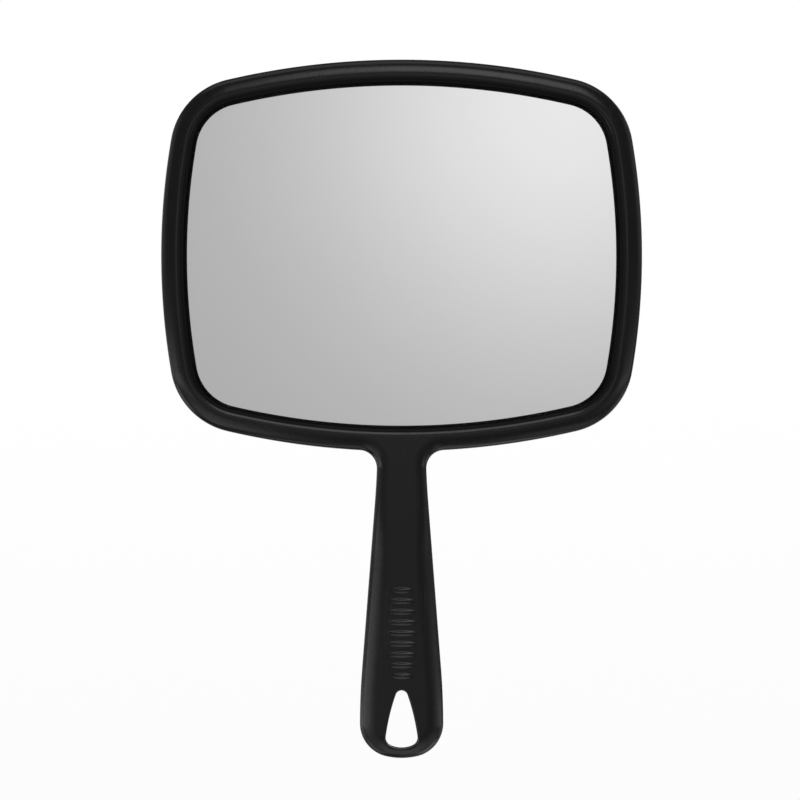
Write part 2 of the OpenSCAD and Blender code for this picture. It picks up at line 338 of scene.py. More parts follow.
def cylinder(side, centre_z, radius, low, high, sides=64):
    turns = np.linspace(0, math.pi, sides // 2 + 1)
    ring = [(radius * math.sin(a), centre_z - radius * math.cos(a)) for a in turns]
    return prism(side, ring, low, high)


def box(side, x, z, low, high):
    """A prism over the rectangle from x[0] to x[1] and z[0] to z[1]."""
    corners = [(x[0], z[0]), (x[1], z[0]), (x[1], z[1]), (x[0], z[1])]
    verts = [(a, side * h, b) for h in (low, high) for a, b in corners]
    faces = [(3, 2, 1, 0), (4, 5, 6, 7)]
    faces += [(i, (i + 1) % 4, 4 + (i + 1) % 4, 4 + i) for i in range(4)]
    return mesh_object("box", verts, faces, [0] * len(faces))


def combine(target, tools, operation):
    """Adds the tools to the target, or cuts them from it, and removes them."""
    for tool in tools:
        modifier = target.modifiers.new("combine", "BOOLEAN")
        modifier.operation = operation
        modifier.solver = "MANIFOLD"
        modifier.object = tool
    graph = bpy.context.evaluated_depsgraph_get()
    mesh = bpy.data.meshes.new_from_object(target.evaluated_get(graph), depsgraph=graph)
    target.modifiers.clear()
    target.data = mesh
    for tool in tools:
        bpy.data.objects.remove(tool)
    return target


def shade_smooth(obj, sharp=28):
    """Smooth shading, except along edges that turn by more than that many degrees."""
    obj.data.polygons.foreach_set("use_smooth", np.ones(len(obj.data.polygons), bool))
    obj.data.set_sharp_from_angle(angle=math.radians(sharp))


# ---------------------------------------------------------------- surfaces of the two shells

def smoothstep(x, low, high):
    t = np.clip((np.asarray(x, float) - low) / (high - low), 0, 1)
    return t * t * (3 - 2 * t)


def crown_width(z):
    """Width of the crowned border, at that height up the handle."""
    return CREST_IN + (CROWN_W - CREST_IN) * smoothstep(HEAD_FOOT - z, *CROWN_GROWS)


def edge_sink(path):
    """How far the crown sinks to the edge, at each point up the handle's outline."""
    step = np.linalg.norm(np.diff(path, axis=0), axis=1)
    to_rim = np.concatenate([np.cumsum(step[::-1])[::-1], [0]])
    flat_neck = (1 - smoothstep(HEAD_FOOT - path[:, 1], *NECK_FLAT)) * smoothstep(to_rim, 0, NECK_BLEND)
    return EDGE_SINK + (NECK_SINK - EDGE_SINK) * flat_neck


def crown_height(d, crown_w, top, sink=EDGE_SINK):
    """Height of the surface at distance d in from the outer edge: a rounded edge, then a
    flatter crown as far as crown_w, then the face at the height of top."""
    d, crown_w, sink = np.broadcast_arrays(*(np.asarray(v, float) for v in (d, crown_w, sink)))
    turn = 2 * np.arctan(sink / (crown_w - EDGE_R))
    reach = (crown_w - EDGE_R) / np.sin(turn)
    edge_end = EDGE_R * (1 - np.sin(turn))
    in_edge = np.sqrt(np.maximum(EDGE_R ** 2 - (EDGE_R - np.minimum(d, edge_end)) ** 2, 0))
    over = np.clip(crown_w - d, 0, None)
    in_crown = np.sqrt(np.maximum((reach + EDGE_R) ** 2 - over ** 2, 0)) - reach - EDGE_R
    return np.where(d < edge_end, top - EDGE_R - sink + in_edge, top + in_crown)


def bar_height(x, z):
    """Height of the grip bars over the face: almond shapes, longest in the middle."""
    middle = (BAR_COUNT - 1) / 2
    height = np.zeros(np.broadcast(x, z).shape)
    for i in range(BAR_COUNT):
        away = i - middle
        length = BAR_L * math.sqrt(1 - (away / (middle + BAR_BEYOND)) ** 2)
        bar_z = HEAD_FOOT - BAR_DROP + away * BAR_PITCH
        r2 = (2 * x / length) ** 2 + (2 * (z - bar_z) / BAR_W) ** 2
        height += BAR_RISE * np.clip(1 - r2, 0, None) ** BAR_SOFTNESS
    return height


def distance_to(path, points):
    """Distance of each point from a path of short steps, mirrored about x = 0 as well."""
    both = np.concatenate([path[::-1] * [-1, 1], path])
    a, b = both[:-1], both[1:]
    ab = b - a
    listed = points.reshape(-1, 1, 2)
    along = np.einsum("pij,ij->pi", listed - a, ab) / np.maximum((ab ** 2).sum(1), 1e-12)
    nearest = a + np.clip(along, 0, 1)[..., None] * ab
    return np.sqrt(((listed - nearest) ** 2).sum(-1)).min(1).reshape(points.shape[:-1])


def add_band(half, path, normals, width, crown_w, sink, top):
    """Adds the crowned border inside an outline and the wall below its edge, and returns the
    wall's foot."""
    share = (np.arange(EDGE_STEPS + 1) / EDGE_STEPS) ** EDGE_CROWDING
    d = np.reshape(width, (-1, 1)) * share
    points = path[:, None] - normals[:, None] * d[..., None]
    height = crown_height(d, np.reshape(crown_w, (-1, 1)), top, np.reshape(sink, (-1, 1)))
    if half.side == FRONT:
        height += bar_height(points[..., 0], points[..., 1])
    half.grid(np.concatenate([points, height[..., None]], -1))
    foot = inset(path, normals, SEAM)
    edge = height[:, 0]
    half.grid(np.stack([
        flat(foot, 0), flat(path, SEAM),
        np.column_stack([path, edge / 2]), np.column_stack([path, edge]),
    ], 1))
    return foot


def add_face(half, crest, first, fillet_first, top):
    """Adds rows across the handle's face, from that first point of the crest up to the head's
    foot, bent to the foot's curve from the first point of the fillet on. Returns the rows."""
    throat_crest = inset(throat_path, throat_normals, CREST_IN)
    across = np.linspace(0, 1, len(throat_path))
    rows = []
    for i in range(first, len(crest)):
        middle = crest[i, 1]
        if i > fillet_first:
            share = (i - fillet_first) / (len(crest) - 1 - fillet_first)
            middle = crest[fillet_first, 1] + (throat_crest[0, 1] - crest[fillet_first, 1]) * share
        z = middle + (crest[i, 1] - middle) * across ** 2
        rows.append(flat(np.column_stack([crest[i, 0] * across, z]), top))
    rows[-1] = flat(throat_crest, top)
    rows = np.array(rows)
    if half.side == FRONT:
        rows[..., 2] += bar_height(rows[..., 0], rows[..., 1])
    half.grid(rows)
    return rows


def add_hole(half, path, outer, outer_height, top):
    """Adds radial rows from the outer points to the hang hole, the hole's rounded edge and its
    wall, and returns the wall's foot."""
    fine, fine_normals = sample(HOLE_ARCS, HOLE_FINE_STEP)
    length, outer_length = run(fine), run(outer)
    at = length[-1] * (1 - outer_length / outer_length[-1])
    hole = np.column_stack([np.interp(at, length, fine[:, k]) for k in (0, 1)])
    hole_normals = np.column_stack([np.interp(at, length, fine_normals[:, k]) for k in (0, 1)])
    hole_normals /= np.linalg.norm(hole_normals, axis=1)[:, None]
    hole_normals[[0, -1], 0] = 0

    inner = hole + hole_normals * HOLE_EDGE_R
    share = np.linspace(0, 1, RADIAL_STEPS + 1)[:, None]
    points = outer[:, None] + (inner - outer)[:, None] * share
    whole_path = np.concatenate([path, rim_path[1:]])
    height = crown_height(distance_to(whole_path, points), CROWN_W, top)
    height[:, 0] = outer_height
    half.grid(np.concatenate([points, height[..., None]], -1))

    foot = hole + hole_normals * SEAM
    ring = [
        np.column_stack([
            hole + hole_normals * HOLE_EDGE_R * (1 - math.sin(a)),
            height[:, -1] - HOLE_EDGE_R * (1 - math.cos(a)),
        ])
        for a in np.linspace(0, math.pi / 2, HOLE_EDGE_POINTS)
    ]
    half.grid(np.stack([*ring, flat(hole, SEAM), flat(foot, 0)], 1))
    return foot


def shell_half(side, top):
    """Outside of a shell without its dish or recess: the band round the edge, the handle's
    face and the hang hole, down to the parting plane. Returns the half and the feet of its
    outer wall and of the hole's wall."""
    half = Half(side)
    path, normals = handle_path, handle_normals
    if side == FRONT:
        path, normals = resample(path, normals, BAR_STEP, BARS_LOW, BARS_HIGH)
    crown_w = crown_width(path[:, 1])
    hole_path, _ = sample(HOLE_ARCS, HOLE_STEP)
    room = distance_to(hole_path, path) - HOLE_EDGE_R
    band_w = np.minimum(crown_w, HOLE_SHARE * room)
    foot = add_band(half, path, normals, band_w, crown_w, edge_sink(path), top)
    rim_w = np.full(len(rim_path), CREST_IN)
    rim_foot = add_band(half, rim_path, rim_normals, rim_w, CREST_IN, EDGE_SINK, top)

    first = int(np.argmax(path[:, 1] > BARS_LOW))
    in_fillet = (path[:, 1] > HEAD_FOOT - NECK_L) & (normals[:, 1] < -FILLET_LEAN)
    crest = inset(path, normals, band_w)
    rows = add_face(half, crest, first, int(np.argmax(in_fillet)), top)
    outer = np.concatenate([rows[0, :, :2], crest[:first][::-1]])
    crest_height = crown_height(band_w, crown_w, top)[:first][::-1]
    outer_height = np.concatenate([rows[0, :, 2], crest_height])
    hole_foot = add_hole(half, path, outer, outer_height, top)
    return half, np.concatenate([foot, rim_foot[1:]]), hole_foot


# ---------------------------------------------------------------- the two shells and the foam pad

def posts(side, radius, low, high):
    """Round posts or bores at the pins."""
    return [cylinder(side, HEAD_FOOT - drop, radius, low, high) for drop in PIN_DROPS]


def front_shell():
    half, foot, hole_foot = shell_half(FRONT, FRONT_H)

    # Roll from the crest down to the lip, and the lip's edge. From the first stop on, the roll takes
    # the painted-shade material; from the second stop, and on the lip's edge, it takes the darker one.
    drop = FRONT_H - LIP_T - GLASS_FRONT
    width = RIM_W - CREST_IN
    roll_r = (width ** 2 + drop ** 2) / (2 * drop)
    stops = [0, *map(math.radians, LIP_SHADE_STARTS), math.asin(width / roll_r)]
    for tag, (start, stop) in enumerate(zip(stops, stops[1:])):
        columns = []
        for a in np.linspace(start, stop, ROLL_POINTS):
            line = inset(head_path, head_normals, CREST_IN + roll_r * math.sin(a))
            columns.append(flat(line, FRONT_H - roll_r * (1 - math.cos(a))))
        half.grid(np.stack(columns, 1), tag)
    lip_edge = inset(head_path, head_normals, RIM_W)
    half.grid(np.stack([flat(lip_edge, FRONT_H - drop), flat(lip_edge, 0)], 1), 2)
    half.face(np.concatenate([flat(foot, 0), flat(lip_edge[::-1], 0), flat(hole_foot, 0)]))
    shell = half.mirrored("front_shell")

    # Hollow behind the face, without the rib round the glass, the collar and the sockets
    roof = FRONT_H - WALL
    hollow = prism(FRONT, coarse(WHOLE_ARCS, WALL), -PAST, roof)
    combine(hollow, [
        prism(FRONT, coarse(HEAD_ARCS, RIB_IN), -2 * PAST, roof + PAST),
        prism(FRONT, coarse(HOLE_ARCS, -COLLAR_T), -2 * PAST, roof + PAST),
        *posts(FRONT, SOCKET_R, -2 * PAST, roof + PAST),
    ], "DIFFERENCE")
    groove = prism(FRONT, coarse(WHOLE_ARCS, GROOVE_IN), -PAST, GROOVE_DEPTH)
    combine(shell, [hollow, groove], "DIFFERENCE")

    # Room for the glass and what backs it, and the bores of the sockets
    glass_room = prism(FRONT, coarse(HEAD_ARCS, RIB_IN + RIB_T), -2 * PAST, GLASS_FRONT)
    combine(shell, [glass_room], "DIFFERENCE")
    stack_room = prism(FRONT, coarse(HEAD_ARCS, RIB_IN - GLASS_SLACK), -2 * PAST, -SILVER_HIGH_Y)
    combine(shell, [stack_room], "DIFFERENCE")
    combine(shell, posts(FRONT, SOCKET_BORE_R, -2 * PAST, SOCKET_DEPTH), "DIFFERENCE")
    shade_smooth(shell)
    return shell


def pad_ribs(floor):
    """Ribs of the back that press on the foam: a grid inside a ring."""
    ring_in = FOAM_IN + PAD_RING_IN
    low, high = FOAM_HIGH[1], floor + FUSE
    ring = prism(REAR, coarse(HEAD_ARCS, ring_in), low, high)
    inside = prism(REAR, coarse(HEAD_ARCS, ring_in + PAD_RIB_T), low - PAST, floor + PAST)
    combine(ring, [inside], "DIFFERENCE")
    half_t = PAD_RIB_T / 2
    head = (HEAD_MID - HEAD_H, HEAD_MID + HEAD_H)
    upright = [box(REAR, (x - half_t, x + half_t), head, low, high) for x in PAD_RIB_X]
    level = [
        box(REAR, (-HEAD_W, HEAD_W), (HEAD_MID + z - half_t, HEAD_MID + z + half_t), low, high)
        for z in PAD_RIB_Z
    ]
    ribs = combine(upright[0], upright[1:] + level, "UNION")
    bounds = prism(REAR, coarse(HEAD_ARCS, ring_in + half_t), low - PAST, floor + PAST)
    combine(ribs, [bounds], "INTERSECT")
    return [ring, ribs]


def rear_shell():
    half, foot, hole_foot = shell_half(REAR, REAR_H)

    # Shallow recess in the back of the head, with soft shoulders
    columns = [
        flat(inset(head_path, head_normals, d), REAR_H) for d in (CREST_IN, RECESS_IN - RAMP_AWAY)
    ]
    for share in np.linspace(0, 1, RAMP_STEPS + 1):
        line = inset(head_path, head_normals, RECESS_IN + RAMP_W * (share - 0.5))
        columns.append(flat(line, REAR_H - RECESS_T * smoothstep(share, 0, 1)))
    half.grid(np.stack(columns, 1))
    half.face(columns[-1], 1)
    half.face(np.concatenate([flat(foot, 0), flat(hole_foot, 0)]))
    shell = half.mirrored("rear_moulding")

    # Hollow inside the floor, without the collar and the posts
    floor = REAR_H - WALL
    hollow = prism(REAR, coarse(WHOLE_ARCS, WALL), -PAST, floor)
    combine(hollow, [
        prism(REAR, coarse(HOLE_ARCS, -COLLAR_T), -2 * PAST, floor + PAST),
        *posts(REAR, POST_R, -2 * PAST, floor + PAST),
    ], "DIFFERENCE")
    combine(shell, [hollow], "DIFFERENCE")

    # Tongue round the edge, pins on the posts, and ribs that press on the foam
    tongue = prism(REAR, coarse(WHOLE_ARCS, TONGUE_IN), -TONGUE_OUT, ROOT)
    inside = prism(REAR, coarse(WHOLE_ARCS, TONGUE_END), -TONGUE_OUT - PAST, 2 * ROOT)
    combine(tongue, [inside], "DIFFERENCE")
    combine(shell, [tongue, *pad_ribs(floor), *posts(REAR, PIN_R, -PIN_OUT, ROOT)], "UNION")
    shade_smooth(shell)
    return shell


def foam_pad():
    """Foam squeezed by the ribs of the back, and a little proud between them."""
    edge, normals = sample(HEAD_ARCS, FOAM_STEP, FOAM_TURN)
    edge = inset(edge, normals, FOAM_IN)
    ring = inset(edge, normals, PAD_RING_IN + PAD_RIB_T / 2)
    centre = np.array([0, HEAD_MID])
    share = np.concatenate([
        np.linspace(0, FOAM_EDGE_FROM, FOAM_COLUMNS),
        np.linspace(FOAM_EDGE_FROM, 1, FOAM_EDGE_COLUMNS)[1:],
    ])
    points = centre + (edge[:, None] - centre) * share[:, None]

    x, z = points[..., 0], points[..., 1] - HEAD_MID
    away = [np.abs(x - rib_x) for rib_x in PAD_RIB_X] + [np.abs(z - rib_z) for rib_z in PAD_RIB_Z]
    away.append(distance_to(ring, points))
    swell = FOAM_SWELL * smoothstep(np.minimum.reduce(away), PAD_RIB_T / 2, FOAM_SWELL_W)
    over = np.clip(FOAM_EDGE_R - distance_to(edge, points), 0, None)
    round_off = FOAM_EDGE_R - np.sqrt(np.maximum(FOAM_EDGE_R ** 2 - over ** 2, 0))
    height = FOAM_HIGH[1] + swell - round_off
    half = Half(REAR)
    half.grid(np.concatenate([points, height[..., None]], -1))
    half.grid(np.stack([np.column_stack([edge, height[:, -1]]), flat(edge, FOAM_LOW[1])], 1))
    half.face(flat(edge, FOAM_LOW[1]))
    pad = half.mirrored("foam_backing")
    shade_smooth(pad, sharp=50)
    return pad


front = front_shell()
rear = rear_shell()
foam = foam_pad()


# ---------------------------------------------------------------- materials

SCRATCH_STRETCH = 0.035  # width of the cells whose borders are the scratches, over their length


class Nodes:
    """Short forms for building one material's nodes."""

    def __init__(self, name):
        self.material = bpy.data.materials.new(name)
        self.material.use_nodes = True
        self.tree = self.material.node_tree
        self.tree.nodes.clear()
        self.place = self.new("ShaderNodeTexCoord").outputs["Object"]

    def new(self, kind, inputs=None, **settings):
        node = self.tree.nodes.new(kind)
        for key, value in settings.items():
            setattr(node, key, value)
        for key, value in (inputs or {}).items():
            if isinstance(value, bpy.types.NodeSocket):
                self.tree.links.new(value, node.inputs[key])
            else:
                node.inputs[key].default_value = value
        return node

    def noise(self, scale, detail=2.0, rough=0.5, place=None, distortion=0.0):
        """Noise with features about 1 / scale metres wide."""
        node = self.new("ShaderNodeTexNoise", {
            "Vector": place or self.place, "Scale": scale, "Detail": detail,
            "Roughness": rough, "Distortion": distortion,
        })
        return node.outputs["Fac"]

    def cells(self, scale, place=None, feature="F1"):
        """Distance from the middles, or the borders, of cells about 1 / scale metres wide."""
        node = self.new("ShaderNodeTexVoronoi", {
            "Vector": place or self.place, "Scale": scale,
        }, feature=feature)
        return node.outputs["Distance"]

    def ramp(self, value, low, high, to_low=0.0, to_high=1.0):
        """The value eased from one range to another, and held at the ends."""
        node = self.new("ShaderNodeMapRange", {
            "Value": value, "From Min": low, "From Max": high, "To Min": to_low, "To Max": to_high,
        }, interpolation_type="SMOOTHSTEP")
        return node.outputs["Result"]

    def math(self, operation, a, b):
        return self.new("ShaderNodeMath", {0: a, 1: b}, operation=operation).outputs[0]

    def mix(self, factor, a, b):
        node = self.new("ShaderNodeMix", data_type="RGBA")
        self.tree.links.new(factor, node.inputs["Factor"])
        for socket, value in zip([s for s in node.inputs if s.type == "RGBA"], (a, b)):
            if isinstance(value, bpy.types.NodeSocket):
                self.tree.links.new(value, socket)
            else:
                socket.default_value = (*value, 1)
        return next(s for s in node.outputs if s.type == "RGBA")

    def bump(self, height, distance, normal=None, sunk=False):
        """Normal of a relief that is that many metres high, or deep where it is sunk."""
        inputs = {"Height": height, "Distance": distance}
        if normal:
            inputs["Normal"] = normal
        return self.new("ShaderNodeBump", inputs, invert=sunk).outputs["Normal"]

    def facing(self):
        """How far the surface faces the back: 1 where it does, -1 where it faces the front."""
        normal = self.new("ShaderNodeNewGeometry").outputs["Normal"]
        return self.new("ShaderNodeSeparateXYZ", {0: normal}).outputs["Y"]

    def turned(self, degrees, stretch):
        """Object coordinates turned about the y axis and then stretched."""
        node = self.new("ShaderNodeMapping", {
            "Vector": self.place, "Rotation": (0, math.radians(degrees), 0), "Scale": stretch,
        })
        return node.outputs["Vector"]

    def scratches(self, degrees, density, width, cover):
        """Mask of fine straight hairlines, a few centimetres long."""
        stretched = self.turned(degrees, (density, density, density * SCRATCH_STRETCH))
        line = self.cells(1.0, stretched, "DISTANCE_TO_EDGE")
        near = self.ramp(line, 0, width, 1, 0)
        patch = self.ramp(self.noise(38, 3, 0.6), 1 - cover, 1.05 - cover)
        return self.math("MULTIPLY", near, patch)

    def finish(self, **inputs):
        """The material, from the shader's inputs by name, with underscores for spaces."""
        named = {name.replace("_", " "): value for name, value in inputs.items()}
        shader = self.new("ShaderNodeBsdfPrincipled", named)
        self.new("ShaderNodeOutputMaterial", {"Surface": shader.outputs[0]})
        return self.material


def glossy_black():
    """Moulded black ABS with a polished face, hairline scratches and rubbed edges."""
    n = Nodes("glossy_black_abs")
    cloud = n.noise(24, 4, 0.6)
    fine = n.noise(900, 3, 0.6)
    specks = n.ramp(n.noise(1500, 2, 0.5), 0.72, 0.78)
    lines = n.math("MAXIMUM", n.scratches(22, 210, 0.012, 0.5), n.scratches(-58, 160, 0.010, 0.46))
    facing = n.math("ABSOLUTE", n.facing(), 0)
    edge = n.math("MULTIPLY", n.ramp(facing, 0.15, 0.45), n.ramp(facing, 0.9, 0.6))
    rubbed = n.math("MULTIPLY", edge, n.ramp(n.noise(120, 5, 0.65), 0.46, 0.62))

    colour = n.mix(n.ramp(cloud, 0.3, 0.7), (0.0030, 0.0030, 0.0033), (0.0042, 0.0042, 0.0045))
    colour = n.mix(n.math("MULTIPLY", specks, 0.35), colour, (0.03, 0.03, 0.031))
    colour = n.mix(n.math("MULTIPLY", rubbed, 0.4), colour, (0.013, 0.013, 0.014))
    colour = n.mix(n.math("MULTIPLY", lines, 0.25), colour, (0.02, 0.02, 0.021))

    rough = n.math("ADD", n.ramp(cloud, 0.3, 0.75, 0.18, 0.23), n.ramp(fine, 0.3, 0.7, -0.012, 0.012))
    rough = n.math("ADD", rough, n.math("MULTIPLY", rubbed, 0.07))
    rough = n.math("ADD", rough, n.math("MULTIPLY", lines, 0.14))

    peel = n.bump(n.noise(330, 2, 0.5), 0.00002)
    peel = n.bump(fine, 0.000003, peel)
    normal = n.bump(lines, 0.000004, peel, sunk=True)
    return n.finish(Base_Color=colour, Roughness=rough, IOR=1.5, Normal=normal)


def painted_shade_black(name, kept_reflection):
    """Inner slope of the rim, down to the glass: painted shade, darker and less reflective than the
    face, with light specks of dust.
    """
    n = Nodes(name)
    cloud = n.noise(60, 4, 0.6)
    fine = n.noise(1400, 3, 0.6)
    dust = n.ramp(n.noise(2200, 2, 0.5), 0.7, 0.76)
    # Darker than the face's colour: painted shade where the slope falls towards the glass; the light
    # specks are dust.
    colour = n.mix(n.ramp(cloud, 0.3, 0.7), (0.0018, 0.0018, 0.0019), (0.0028, 0.0028, 0.003))
    colour = n.mix(n.math("MULTIPLY", dust, 0.3), colour, (0.02, 0.02, 0.02))
    rough = n.math("ADD", n.ramp(cloud, 0.3, 0.75, 0.40, 0.48), n.ramp(fine, 0.3, 0.7, -0.03, 0.03))
    normal = n.bump(fine, 0.00001)
    # Specular level turned down as well: painted shade, deeper on the lip than on the slope.
    return n.finish(
        Base_Color=colour, Roughness=rough, IOR=1.5, Specular_IOR_Level=kept_reflection, Normal=normal,
    )


def satin_black():
    """Moulded black ABS of the back: a little duller, with more handling marks."""
    n = Nodes("satin_black_abs")
    cloud = n.noise(18, 5, 0.6)
    fine = n.noise(1100, 3, 0.6)
    lines = n.math("MAXIMUM", n.scratches(12, 180, 0.014, 0.56), n.scratches(-71, 140, 0.012, 0.52))
    facing = n.facing()
    edge = n.math("MULTIPLY", n.ramp(facing, 0.15, 0.45), n.ramp(facing, 0.9, 0.6))
    rubbed = n.math("MULTIPLY", edge, n.ramp(n.noise(110, 5, 0.65), 0.44, 0.6))

    colour = n.mix(n.ramp(cloud, 0.3, 0.7), (0.0060, 0.0060, 0.0064), (0.0088, 0.0088, 0.0092))
    colour = n.mix(n.math("MULTIPLY", rubbed, 0.5), colour, (0.018, 0.018, 0.019))
    colour = n.mix(n.math("MULTIPLY", lines, 0.3), colour, (0.026, 0.026, 0.027))
    rough = n.math("ADD", n.ramp(cloud, 0.3, 0.75, 0.31, 0.40), n.ramp(fine, 0.3, 0.7, -0.02, 0.02))
    rough = n.math("ADD", rough, n.math("MULTIPLY", rubbed, 0.05))
    rough = n.math("ADD", rough, n.math("MULTIPLY", lines, 0.12))
    normal = n.bump(n.noise(300, 2, 0.5), 0.00003)
    normal = n.bump(fine, 0.000006, normal)
    return n.finish(Base_Color=colour, Roughness=rough, IOR=1.5, Normal=normal)


def spark_grain():
    """Spark-eroded grain of the recessed panel in the back."""
    n = Nodes("grained_black_abs")
    grain = n.noise(1300, 3, 0.55)
    pits = n.cells(1100)
    cloud = n.noise(20, 4, 0.6)
    shiny = n.ramp(n.noise(9, 3, 0.5), 0.5, 0.72)
    colour = n.mix(n.ramp(grain, 0.3, 0.7), (0.0065, 0.0065, 0.0068), (0.0115, 0.0115, 0.012))
    rough = n.math("ADD", n.ramp(cloud, 0.3, 0.75, 0.46, 0.54), n.math("MULTIPLY", shiny, -0.08))
    normal = n.bump(grain, 0.00007)
    normal = n.bump(pits, 0.00004, normal)
    return n.finish(Base_Color=colour, Roughness=rough, IOR=1.5, Normal=normal)


def clear_glass():
    """Float glass: colourless, green-tinged through its edge, with a trace of dust."""
    n = Nodes("float_glass")
    dust = n.ramp(n.noise(2600, 2, 0.5), 0.74, 0.8)
    haze = n.ramp(n.noise(14, 4, 0.6), 0.4, 0.8)
    edge = n.ramp(n.math("ABSOLUTE", n.facing(), 0), 0.5, 0.9, 1, 0)
    colour = n.mix(edge, (0.985, 0.992, 0.989), (0.72, 0.88, 0.82))
    rough = n.math("ADD", n.math("MULTIPLY", haze, 0.004), n.math("MULTIPLY", dust, 0.05))
    rough = n.math("ADD", rough, n.math("MULTIPLY", edge, 0.25))
    normal = n.bump(n.noise(60, 2, 0.5), 0.0000004)
    return n.finish(
        Base_Color=colour, Roughness=rough, IOR=1.52, Transmission_Weight=1.0, Normal=normal,
    )


def silver():
    """Bright silver, faintly clouded."""
    n = Nodes("silver_film")
    cloud = n.noise(11, 4, 0.6)
    colour = n.mix(n.ramp(cloud, 0.3, 0.7), (0.945, 0.945, 0.94), (0.957, 0.957, 0.953))
    rough = n.ramp(n.noise(40, 3, 0.6), 0.3, 0.8, 0.006, 0.012)
    normal = n.bump(n.noise(25, 1, 0.5), 0.0000003)
    return n.finish(Base_Color=colour, Metallic=1.0, Roughness=rough, Normal=normal)


def backing_paint():
    """Grey-blue mirror backing paint, rolled on."""
    n = Nodes("mirror_backing_paint")
    roll = n.noise(1.0, 3, 0.6, n.turned(0, (60, 400, 900)))
    spots = n.ramp(n.noise(700, 3, 0.6), 0.66, 0.72)
    colour = n.mix(roll, (0.085, 0.10, 0.125), (0.115, 0.135, 0.16))
    colour = n.mix(n.math("MULTIPLY", spots, 0.5), colour, (0.06, 0.07, 0.085))
    normal = n.bump(roll, 0.00002)
    return n.finish(Base_Color=colour, Roughness=n.ramp(roll, 0.3, 0.7, 0.42, 0.55), Normal=normal)


def adhesive():
    """Cloudy amber adhesive with trapped bubbles."""
    n = Nodes("cloudy_adhesive")
    cloud = n.noise(140, 4, 0.6, distortion=0.6)
    bubbles = n.ramp(n.cells(420), 0.1, 0.22, 1, 0)
    colour = n.mix(cloud, (0.62, 0.55, 0.36), (0.74, 0.70, 0.55))
    colour = n.mix(n.math("MULTIPLY", bubbles, 0.5), colour, (0.84, 0.82, 0.74))
    normal = n.bump(cloud, 0.00003)
    normal = n.bump(bubbles, 0.00002, normal)
    return n.finish(Base_Color=colour, Roughness=n.ramp(cloud, 0.3, 0.7, 0.25, 0.42), Normal=normal)


def closed_cell_foam():
    """Dark grey closed-cell foam: fine open cells on the cut faces."""
    n = Nodes("closed_cell_foam")
    large = n.ramp(n.cells(620), 0.15, 0.4)
    cloud = n.noise(90, 4, 0.6)
    walls = n.ramp(n.cells(1500, feature="DISTANCE_TO_EDGE"), 0.02, 0.16, 1, 0)
    colour = n.mix(n.ramp(cloud, 0.3, 0.7), (0.024, 0.024, 0.027), (0.040, 0.040, 0.044))
    colour = n.mix(n.math("MULTIPLY", walls, 0.6), colour, (0.075, 0.075, 0.08))
    normal = n.bump(walls, 0.00006)
    normal = n.bump(large, 0.00005, normal)
    return n.finish(Base_Color=colour, Roughness=n.ramp(cloud, 0.3, 0.7, 0.8, 0.95), Normal=normal)


def dress(obj, *materials):
    """Puts the materials in the object's slots, in the order of its faces' tags."""
    for i, material in enumerate(materials):
        obj.data.materials[i] = material


# The roll's lower stretches and the lip's edge take the two painted-shade materials, the second darker
# and less reflective.
dress(front, glossy_black(), painted_shade_black("shaded_black_slope", 0.18), painted_shade_black("deeper_shaded_black_lip", 0.06))
dress(rear, satin_black(), spark_grain())
dress(foam, closed_cell_foam())

for node, make in (
    ("mirror_glass", clear_glass), ("silver_coating", silver),
    ("back_paint", backing_paint), ("adhesive_film", adhesive),
):
    for slot in bpy.data.objects[node].material_slots:
        slot.material = make()

for piece, node, slot in (
    (front, "front_frame", "front_plastic"),
    (rear, "rear_shell", "rear_plastic"),
    (foam, "foam_pad", "foam"),
):
    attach(piece, "root")
    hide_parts(node)


# ---------------------------------------------------------------- camera

EYE = Vector((-0.0006, -2.2, 0.0766))
VIEW_W = 0.2998          # width of the view at the object
SENSOR_W = 36.0          # in millimetres
FAR = 30

lens = bpy.data.cameras.new("camera")
lens.sensor_width = SENSOR_W
lens.lens = SENSOR_W * -EYE.y / VIEW_W
lens.clip_end = FAR
camera = bpy.data.objects.new("camera", lens)
camera.location = EYE
camera.rotation_euler = (math.pi / 2, 0, 0)
bpy.context.scene.collection.objects.link(camera)
bpy.context.scene.camera = camera


# ---------------------------------------------------------------- studio

COVE_FLOOR = TIP_Z * MM - 0.25
COVE_R, COVE_TURN_R, COVE_TOP, COVE_PEAK = 4.0, 1.6, 3.0, 4.5
COVE_BLEND = 0.5         # height over which the floor's grey turns into the backdrop's white
FLOOR_TONE, WHITE = (0.975, 0.975, 0.975), (1.0, 1.0, 1.0)
TURN_POINTS, COVE_SIDES = 16, 72
COVE_WELD = 1e-5

ROOM_LIGHT = 0.18        # even light from all round

# What the glass sends to the camera, in linear light: an even field, and a round bright spot
# added to it, placed from the middle of the glass
GLASS_FIELD, GLASS_SPOT = 0.404, 0.394
SPOT_SPREAD, SPOT_RIGHT, SPOT_UP = 0.099, 0.062, 0.058
GLASS_REFLECTANCE = 0.935

# The panel that the glass reflects stands between it and the camera
MIRROR_Y = -1.5
MIRROR_W, MIRROR_H, MIRROR_FADE = 0.384, 0.334, 0.05
GROW = (MIRROR_Y + EYE.y) / EYE.y        # size on the panel over size on the glass
MIRROR_Z = EYE.z + (HEAD_MID * MM - EYE.z) * GROW


def studio_object(name, mesh, material):
    obj = bpy.data.objects.new(name, mesh)
    obj.data.materials.append(material)
    bpy.context.scene.collection.objects.link(obj)
    return obj


